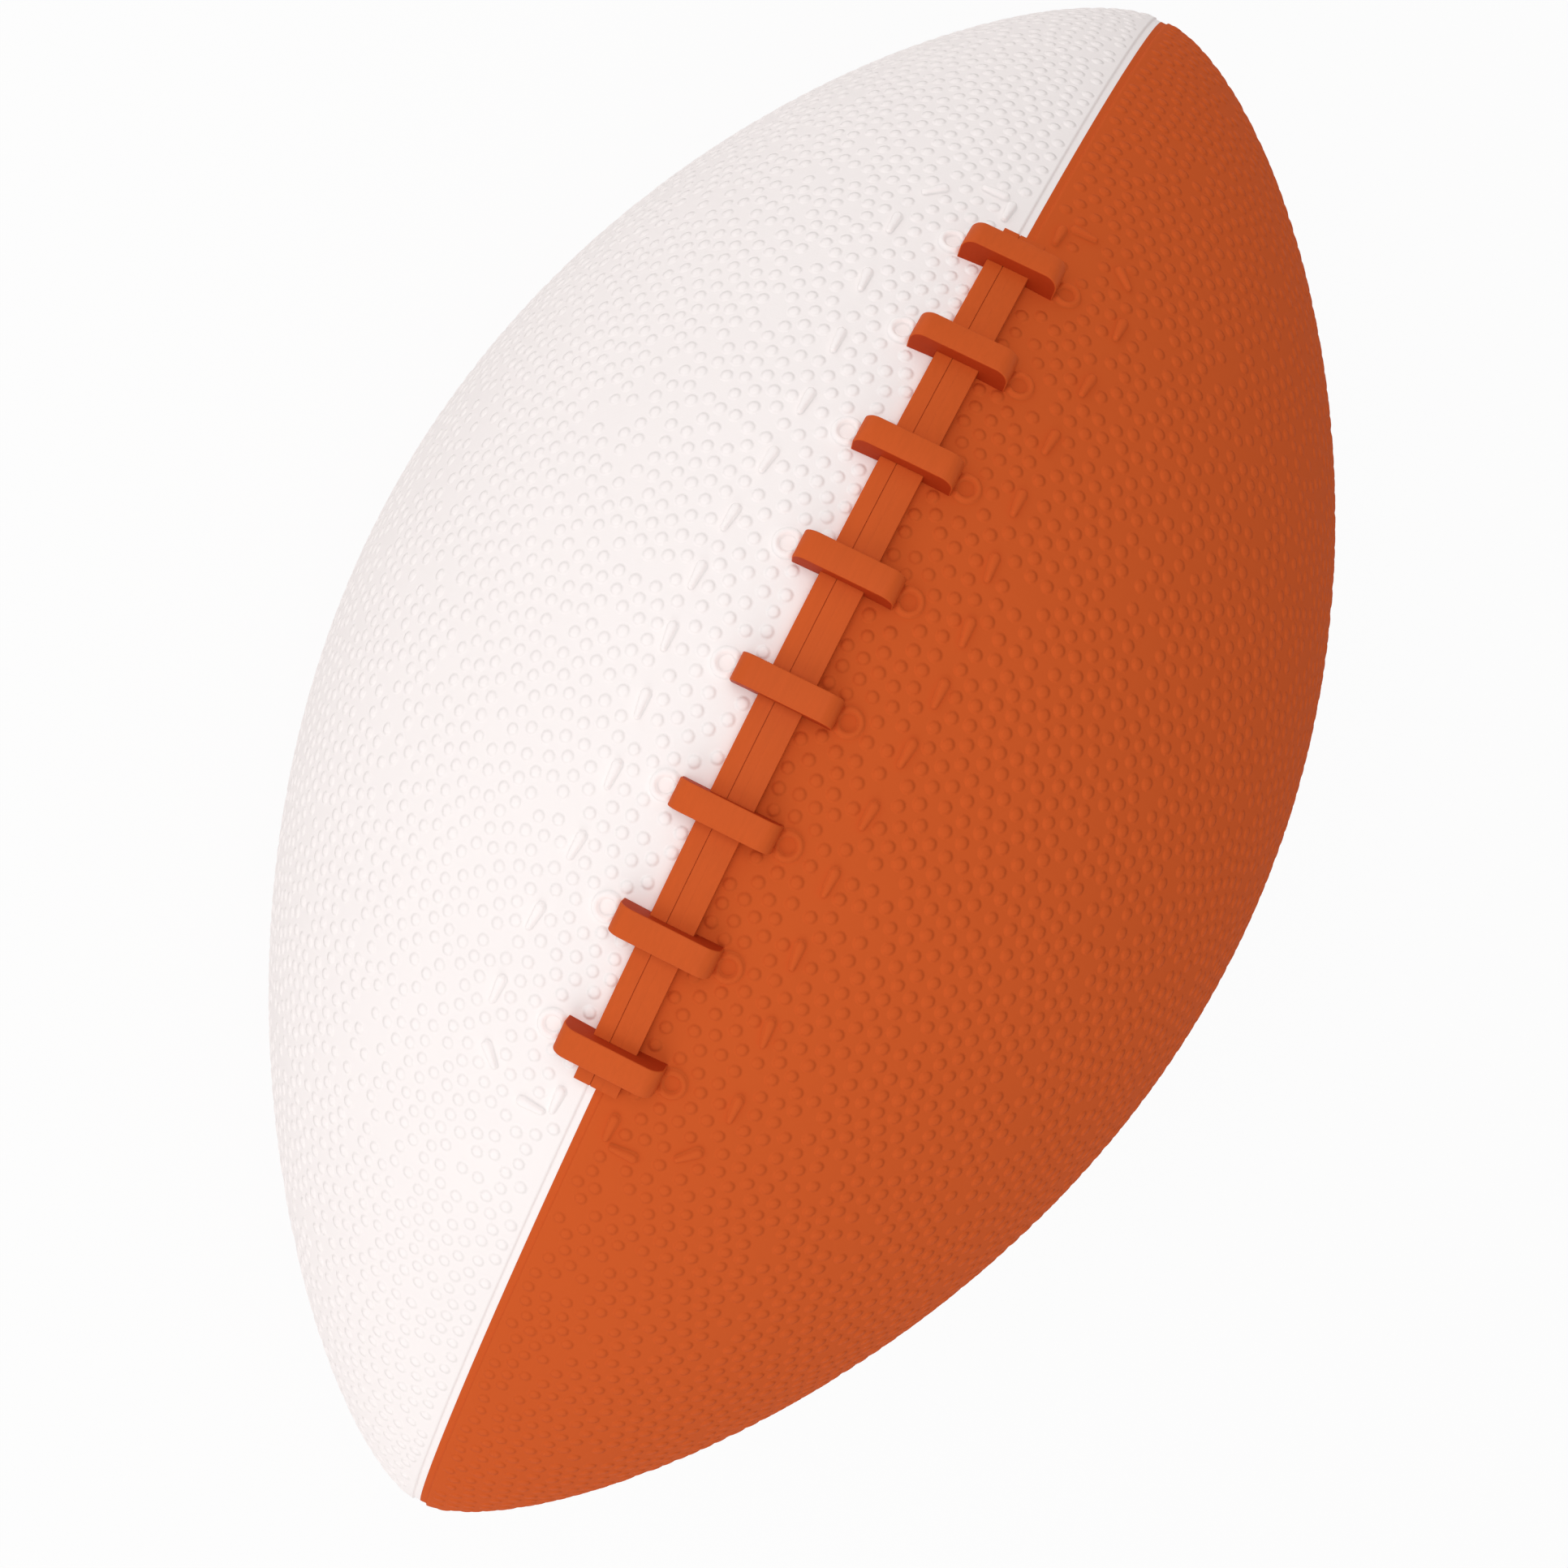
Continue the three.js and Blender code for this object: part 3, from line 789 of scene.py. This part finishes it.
def bar_outline(radius):
    """A bar seen along the seam: feet on the panels, rounded shoulders and a tunnel for the runs."""
    def foot(side):
        return GROUND + LACE_GAP - side * side / (2 * radius)

    tunnel = RUN_OUTER_EDGE + LACE_GAP
    shoulder = (BAR_OUTER_EDGE - BAR_CORNER, BAR_HEIGHT - BAR_CORNER)
    right = [(tunnel, foot(tunnel)), (BAR_OUTER_EDGE, foot(BAR_OUTER_EDGE))]
    right += arc(shoulder, BAR_CORNER, 0, 90, BAR_CORNER_STEPS)
    left = [(-side, height) for side, height in reversed(right)]
    roof = RUN_HEIGHT + LACE_GAP
    return right + left + [(-tunnel, roof), (tunnel, roof)]


def shaped_bar(outline):
    """A bar with its edges rounded. Its two long sides take the second material, a darker copy of the
    first that paints shade on them; the rest takes the first.
    """
    shaped = bmesh.new()
    ends = []
    for place in (-BAR_WIDTH / 2, BAR_WIDTH / 2):
        corners = [shaped.verts.new((place, side, height)) for side, height in outline]
        ends.append(corners)
    low_end = shaped.faces.new(ends[0][::-1])
    high_end = shaped.faces.new(ends[1])
    size = len(outline)
    for i in range(size):
        j = (i + 1) % size
        shaped.faces.new((ends[0][i], ends[0][j], ends[1][j], ends[1][i]))
    foot_to_foot = range(1, size - 4)
    rounded = [shaped.edges.get((end[i], end[i + 1])) for end in ends for i in foot_to_foot]
    # The two long sides take the darker lace material, which is painted shade
    low_end.material_index = 1
    high_end.material_index = 1
    bmesh.ops.recalc_face_normals(shaped, faces=shaped.faces)
    bmesh.ops.bevel(shaped, geom=rounded, offset=BAR_EDGE_ROUNDING, segments=EDGE_STEPS,
                    profile=0.5, affect="EDGES", clamp_overlap=True, material=0)
    return shaped


def build_bar(number, run, materials):
    """One bar across the seam, set square on the ball's outline."""
    node = "lace_bar_%d" % (number + 1)
    shaped = shaped_bar(bar_outline(float(along("radius", run))))
    lean = -float(along("lean", run))
    base = surface(np.array(run), np.array(0.0), 0.0)
    turned = Matrix.Translation(Vector(base)) @ Matrix.Rotation(lean, 4, "Y")
    bmesh.ops.transform(shaped, matrix=turned, verts=shaped.verts)
    shaped.verts.index_update()
    points = [tuple(v.co) for v in shaped.verts]
    faces = [tuple(v.index for v in f.verts) for f in shaped.faces]
    sides = [f.material_index for f in shaped.faces]
    shaped.free()
    piece = new_piece(node + "_rubber", points, faces, node, materials)
    piece.data.polygons.foreach_set("material_index", sides)
    piece.data.set_sharp_from_angle(angle=math.radians(SHARP_ANGLE_DEG))
    return piece


def build_strip(node, section, materials):
    """A strip that follows the laced seam, from its section as side and height points."""
    ends = strip_reach()
    runs = LACE_ROW_SHIFT + np.linspace(-ends, ends, STRIP_STEPS + 1)
    size = len(section)
    points = []
    for run in runs:
        x, radius, lean = (float(along(name, run)) for name in ("x", "radius", "lean"))
        for side, height in section:
            points.append((x - height * math.sin(lean), side, radius + height * math.cos(lean)))
    faces = [tuple(range(size))[::-1], tuple(range(size * STRIP_STEPS, size * (STRIP_STEPS + 1)))]
    for i in range(STRIP_STEPS):
        for j in range(size):
            a = size * i + j
            b = size * i + (j + 1) % size
            faces.append((a, b, b + size, a + size))
    piece = new_piece(node + "_rubber", points, faces, node, materials)
    shaped = bmesh.new()
    shaped.from_mesh(piece.data)
    bmesh.ops.recalc_face_normals(shaped, faces=shaped.faces)
    shaped.to_mesh(piece.data)
    shaped.free()
    piece.data.set_sharp_from_angle(angle=math.radians(SHARP_ANGLE_DEG))
    return piece


def run_section(way):
    low = GROUND + LACE_GAP
    top = RUN_HEIGHT
    soft = RUN_EDGE_ROUNDING
    section = [(RUN_INNER_EDGE, low), (RUN_OUTER_EDGE, low)]
    section += arc((RUN_OUTER_EDGE - soft, top - soft), soft, 0, 90, EDGE_STEPS)
    section.append((RUN_INNER_EDGE, top))
    return [(way * side, height) for side, height in section]


def core_section():
    """The middle of the laces, with a root that fills the seam's channel.
    It lies against the run on the orange side and leaves a narrow groove beside the other."""
    ground = GROUND - LACE_GAP
    floor = LACE_GAP - CHANNEL_DEPTH
    floor_edge, wall_edge = RIM_PROFILE[0][0], RIM_PROFILE[2][0]
    root = [(floor_edge, floor), (wall_edge, ground)]
    edge = RUN_INNER_EDGE - CORE_SIDE_GAP
    groove_edge = edge - GROOVE_WIDTH
    groove_floor = RUN_HEIGHT - GROOVE_DEPTH
    upper = [
        (edge, ground), (edge, groove_floor), (groove_edge, groove_floor),
        (groove_edge, RUN_HEIGHT), (-edge, RUN_HEIGHT), (-edge, ground),
    ]
    return root + upper + [(-side, height) for side, height in reversed(root)]


# The valve

def turned_piece(node, outline, materials):
    """A piece turned about the valve's axis, from radius and height points round its section."""
    turn = math.radians(VALVE_ANGLE_DEG)
    outward = np.array([0.0, math.sin(turn), math.cos(turn)])
    sideways = np.array([0.0, math.cos(turn), -math.sin(turn)])
    forward = np.array([1.0, 0.0, 0.0])
    points, rows, faces = [], [], []
    for radius, height in outline:
        row = []
        count = 1 if radius == 0 else VALVE_SEGMENTS
        for i in range(count):
            step = 2 * math.pi * i / VALVE_SEGMENTS
            spoke = math.cos(step) * forward + math.sin(step) * sideways
            row.append(len(points))
            points.append(radius * spoke + height * outward)
        rows.append(row * (VALVE_SEGMENTS // count))
    closed = outline[0][0] > 0
    pairs = list(zip(rows, rows[1:] + rows[:1])) if closed else list(zip(rows, rows[1:]))
    for low, high in pairs:
        for i in range(VALVE_SEGMENTS):
            j = (i + 1) % VALVE_SEGMENTS
            face = list(dict.fromkeys((low[i], low[j], high[j], high[i])))
            faces.append(tuple(face))
    piece = new_piece(node + "_rubber", points, faces, node, materials)
    piece.data.set_sharp_from_angle(angle=math.radians(SHARP_ANGLE_DEG))
    return piece


def build_valve(material):
    flange_foot = VALVE_FLANGE_TOP - VALVE_FLANGE_THICKNESS
    neck_end = flange_foot - VALVE_NECK_LENGTH
    head_foot = VALVE_FACE - VALVE_HEAD_THICKNESS
    head_seat = head_foot - VALVE_CLEARANCE
    housing = [
        (VALVE_BORE_RADIUS, neck_end), (VALVE_NECK_RADIUS, neck_end),
        (VALVE_NECK_RADIUS, flange_foot), (VALVE_FLANGE_RADIUS, flange_foot),
        (VALVE_FLANGE_RADIUS, VALVE_FLANGE_TOP), (VALVE_STEM_RADIUS, VALVE_FLANGE_TOP),
    ]
    housing += [(VALVE_STEM_RADIUS - side, VALVE_FACE - depth) for side, depth in VALVE_STEM_EDGE]
    housing += [(VALVE_COUNTERBORE_RADIUS + side, VALVE_FACE - depth)
                for side, depth in VALVE_COUNTERBORE_EDGE]
    housing += [(VALVE_COUNTERBORE_RADIUS, head_seat), (VALVE_BORE_RADIUS, head_seat)]
    core = [
        (0, neck_end), (VALVE_CORE_RADIUS, neck_end),
        (VALVE_CORE_RADIUS, head_foot), (VALVE_HEAD_RADIUS, head_foot),
    ]
    core += [(VALVE_HEAD_RADIUS - side, VALVE_FACE - depth) for side, depth in VALVE_HEAD_EDGE]
    core += [(radius, VALVE_FACE - depth) for radius, depth in VALVE_DIMPLE]
    turned_piece("valve_housing", housing, [material])
    turned_piece("valve_core", core, [material])


# Materials

class Nodes:
    """A material's node tree, with short ways to add and join nodes."""

    def __init__(self, name):
        self.material = bpy.data.materials.new(name)
        self.material.use_nodes = True
        self.tree = self.material.node_tree
        self.shader = self.tree.nodes["Principled BSDF"]

    def add(self, kind, inputs=None, **settings):
        node = self.tree.nodes.new(kind)
        for key, value in settings.items():
            setattr(node, key, value)
        for key, value in (inputs or {}).items():
            if isinstance(value, bpy.types.NodeSocket):
                self.tree.links.new(value, node.inputs[key])
            else:
                node.inputs[key].default_value = value
        return node

    def noise(self, size, detail=2.0, stretch=(1, 1, 1)):
        """Noise whose grains are about size millimetres across, drawn out along an axis by stretch."""
        place = self.add("ShaderNodeTexCoord").outputs["Object"]
        scaled = self.add("ShaderNodeMapping", {"Vector": place, "Scale": stretch})
        inputs = {"Vector": scaled.outputs["Vector"], "Scale": 1 / (size * MM), "Detail": detail}
        return self.add("ShaderNodeTexNoise", inputs).outputs["Fac"]

    def maths(self, operation, first, second):
        return self.add("ShaderNodeMath", {0: first, 1: second}, operation=operation).outputs[0]

    def spread(self, value, low, high, start=0.3, end=0.7):
        """A value between start and end, spread out between low and high."""
        inputs = {"Value": value, "From Min": start, "From Max": end, "To Min": low, "To Max": high}
        return self.add("ShaderNodeMapRange", inputs).outputs["Result"]

    def tint(self, value, colour, tones):
        """The colour between its dark and its light tone, by a value from 0 to 1."""
        node = self.add("ShaderNodeMix", data_type="RGBA")
        self.tree.links.new(value, node.inputs["Factor"])
        sockets = [socket for socket in node.inputs if socket.type == "RGBA"]
        for socket, tone in zip(sockets, tones):
            socket.default_value = (*(min(c * tone, 1.0) for c in colour), 1)
        return next(s for s in node.outputs if s.type == "RGBA")

    def link(self, value, socket):
        self.tree.links.new(value, self.shader.inputs[socket])

    def bump(self, *layers):
        """Raises the surface by layers of a value, a height in millimetres and a strength."""
        normal = None
        for value, height, strength in layers:
            inputs = {"Height": value, "Distance": height * MM, "Strength": strength}
            if normal is not None:
                inputs["Normal"] = normal
            normal = self.add("ShaderNodeBump", inputs).outputs["Normal"]
        self.link(normal, "Normal")


def pebbled_rubber(name, colour):
    """Matte rubber, a little lighter and smoother on top of what stands out; the lighter tops and darker
    ground between are partly wear, partly painted shade.
    """
    nodes = Nodes(name)
    relief = nodes.add("ShaderNodeAttribute", attribute_name="relief").outputs["Fac"]
    patches = nodes.noise(PATCH_SIZE, detail=3.0)
    grime = nodes.noise(GRIME_SIZE, detail=3.0)
    grain = nodes.noise(GRAIN_SIZE, detail=4.0)
    # Tops lighter and the ground between darker, by the relief: partly wear, partly painted shade
    wear_and_painted_shade = nodes.maths("ADD", patches, nodes.maths("MULTIPLY", relief, PEBBLE_TOP_WEAR_AND_SHADE))
    tone = nodes.spread(wear_and_painted_shade, 0, 1, start=0.35, end=1.2)
    nodes.link(nodes.tint(tone, colour, PEBBLED_TONES), "Base Color")
    settled = nodes.maths("SUBTRACT", grime, relief)
    nodes.link(nodes.spread(settled, *PEBBLED_ROUGHNESS, start=-0.6, end=0.7), "Roughness")
    nodes.shader.inputs["Specular IOR Level"].default_value = PEBBLED_SPECULAR
    nodes.bump((grain, *GRAIN_BUMP), (grime, *GRIME_BUMP))
    return nodes.material


def lace_rubber(name, colour):
    """Smooth rubber with faint streaks along the laces."""
    nodes = Nodes(name)
    streaks = nodes.noise(STREAK_WIDTH, detail=2.0, stretch=STREAK_STRETCH)
    patches = nodes.noise(LACE_PATCH_SIZE, detail=3.0)
    grain = nodes.noise(LACE_GRAIN_SIZE, detail=4.0)
    tone = nodes.spread(nodes.maths("ADD", streaks, patches), 0, 1, start=0.7, end=1.3)
    nodes.link(nodes.tint(tone, colour, LACE_TONES), "Base Color")
    nodes.link(nodes.spread(patches, *LACE_ROUGHNESS), "Roughness")
    nodes.shader.inputs["Specular IOR Level"].default_value = LACE_SPECULAR
    nodes.bump((streaks, *STREAK_BUMP), (grain, *LACE_GRAIN_BUMP))
    return nodes.material


def smooth_rubber(name, colour, roughness):
    """Dark smooth rubber with a little dust on it."""
    nodes = Nodes(name)
    dust = nodes.noise(DUST_SIZE, detail=5.0)
    grain = nodes.noise(SMOOTH_GRAIN_SIZE, detail=3.0)
    nodes.link(nodes.tint(nodes.spread(dust, 0, 1), colour, SMOOTH_TONES), "Base Color")
    nodes.link(nodes.spread(dust, *roughness), "Roughness")
    nodes.shader.inputs["Specular IOR Level"].default_value = SMOOTH_SPECULAR
    nodes.bump((grain, *SMOOTH_GRAIN_BUMP))
    return nodes.material


def wound_yarn(name, colour):
    """Nylon yarn wound round the bladder in crossing turns."""
    nodes = Nodes(name)
    place = nodes.add("ShaderNodeTexCoord").outputs["Object"]
    turns = []
    for tilt in YARN_TILTS_DEG:
        inputs = {"Vector": place, "Rotation": (0, 0, math.radians(tilt))}
        turned = nodes.add("ShaderNodeMapping", inputs).outputs["Vector"]
        inputs = {"Vector": turned, "Scale": 1 / (YARN_WIDTH * MM), "Distortion": YARN_WANDER}
        turns.append(nodes.add("ShaderNodeTexWave", inputs).outputs["Fac"])
    yarn = nodes.maths("MAXIMUM", nodes.maths("MAXIMUM", turns[0], turns[1]), turns[2])
    nodes.link(nodes.tint(yarn, colour, YARN_TONES), "Base Color")
    nodes.link(nodes.spread(yarn, *YARN_ROUGHNESS), "Roughness")
    nodes.bump((yarn, *YARN_BUMP))
    return nodes.material


# Floor, sky and lamps

def seen_as_background(nodes, links):
    """1 for rays from the camera and for reflections, 0 for the light that falls on the ball."""
    path = nodes.new("ShaderNodeLightPath")
    seen = path.outputs["Is Camera Ray"]
    for kind in ("Is Glossy Ray", "Is Transmission Ray"):
        either = nodes.new("ShaderNodeMath")
        either.operation = "MAXIMUM"
        links.new(seen, either.inputs[0])
        links.new(path.outputs[kind], either.inputs[1])
        seen = either.outputs[0]
    return seen


def add_floor():
    """A pale floor that the camera sees as near white, but for the ball's shadow on it."""
    half = FLOOR_SIZE / 2 * MM
    bottom = cad_box[0].z - FLOOR_GAP * MM
    corners = [(x * half, y * half, bottom) for x, y in ((-1, -1), (1, -1), (1, 1), (-1, 1))]
    mesh = bpy.data.meshes.new("floor")
    mesh.from_pydata(corners, [], [(0, 1, 2, 3)])
    material = bpy.data.materials.new("floor")
    material.use_nodes = True
    nodes, links = material.node_tree.nodes, material.node_tree.links
    matte = nodes["Principled BSDF"]
    matte.inputs["Base Color"].default_value = (*FLOOR_COLOUR, 1)
    matte.inputs["Roughness"].default_value = FLOOR_ROUGHNESS
    matte.inputs["Specular IOR Level"].default_value = FLOOR_SPECULAR
    white = nodes.new("ShaderNodeEmission")
    whitened = nodes.new("ShaderNodeMath")
    whitened.operation = "MULTIPLY"
    whitened.inputs[1].default_value = FLOOR_WHITENESS
    links.new(seen_as_background(nodes, links), whitened.inputs[0])
    mix = nodes.new("ShaderNodeMixShader")
    links.new(whitened.outputs[0], mix.inputs["Fac"])
    links.new(matte.outputs["BSDF"], mix.inputs[1])
    links.new(white.outputs["Emission"], mix.inputs[2])
    links.new(mix.outputs["Shader"], nodes["Material Output"].inputs["Surface"])
    mesh.materials.append(material)
    floor = bpy.data.objects.new("floor", mesh)
    bpy.context.scene.collection.objects.link(floor)


def add_sky():
    world = bpy.data.worlds.new("sky")
    world.use_nodes = True
    nodes, links = world.node_tree.nodes, world.node_tree.links
    light = nodes["Background"]
    light.inputs["Color"].default_value = (1, 1, 1, 1)
    light.inputs["Strength"].default_value = SKY_STRENGTH
    white = nodes.new("ShaderNodeBackground")
    white.inputs["Color"].default_value = (1, 1, 1, 1)
    white.inputs["Strength"].default_value = SKY_WHITENESS
    mix = nodes.new("ShaderNodeMixShader")
    links.new(seen_as_background(nodes, links), mix.inputs["Fac"])
    links.new(light.outputs["Background"], mix.inputs[1])
    links.new(white.outputs["Background"], mix.inputs[2])
    links.new(mix.outputs["Shader"], nodes["World Output"].inputs["Surface"])
    bpy.context.scene.world = world


def add_lamp(name, direction, watts):
    data = bpy.data.lights.new(name, "AREA")
    data.energy = watts
    data.size = LAMP_SIZE * MM
    lamp = bpy.data.objects.new(name, data)
    way = Vector(direction).normalized()
    turned = way.to_track_quat("Z", "Y").to_matrix().to_4x4()
    lamp.matrix_world = Matrix.Translation(way * LAMP_DISTANCE * MM) @ turned
    bpy.context.scene.collection.objects.link(lamp)


# The whole ball

def build_panels():
    white = pebbled_rubber("white_pebbled_rubber", WHITE_RUBBER)
    orange = pebbled_rubber("orange_pebbled_rubber", ORANGE_RUBBER)
    hole = {"run": 0.0, "angle": math.radians(VALVE_ANGLE_DEG), "radius": VALVE_HOLE_PROFILE[0][0]}
    build_panel("front_white_panel", 0, 1, white, SEED)
    build_panel("front_orange_panel", 270, -1, orange, SEED + 1)
    build_panel("rear_white_panel", 180, 0, white, SEED + 2, hole)
    build_panel("rear_orange_panel", 90, 0, orange, SEED + 3)


def build_laces():
    top = lace_rubber("lace_rubber", LACE_TOP)
    # A darker copy of the lace rubber: painted shade on the bars' side walls
    side = lace_rubber("lace_rubber_painted_shade_sides", LACE_SIDE_PAINTED_SHADE)
    for number, run in enumerate(lace_runs()):
        build_bar(number, float(run), [top, side])
    build_strip("lace_run_white_side", run_section(1), [top])
    build_strip("lace_run_orange_side", run_section(-1), [top])
    build_strip("lace_core", core_section(), [top])


def finish_hidden_layers():
    """The winding and the bladder keep their solids and take their own materials."""
    layers = {
        "nylon_winding": wound_yarn("nylon_yarn", NYLON_YARN),
        "bladder": smooth_rubber("butyl_rubber", BUTYL_RUBBER, BUTYL_ROUGHNESS),
    }
    for node, material in layers.items():
        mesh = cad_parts[node].data
        mesh.materials.clear()
        mesh.materials.append(material)


add_camera()
build_panels()
build_laces()
build_valve(smooth_rubber("valve_rubber", BLACK_RUBBER, VALVE_ROUGHNESS))
finish_hidden_layers()
add_floor()
add_sky()
add_lamp("key", KEY_DIRECTION, KEY_WATTS)
add_lamp("top", TOP_DIRECTION, TOP_WATTS)
add_lamp("side", SIDE_DIRECTION, SIDE_WATTS)
add_lamp("fill", FILL_DIRECTION, FILL_WATTS)
bpy.context.scene.view_settings.view_transform = "Standard"
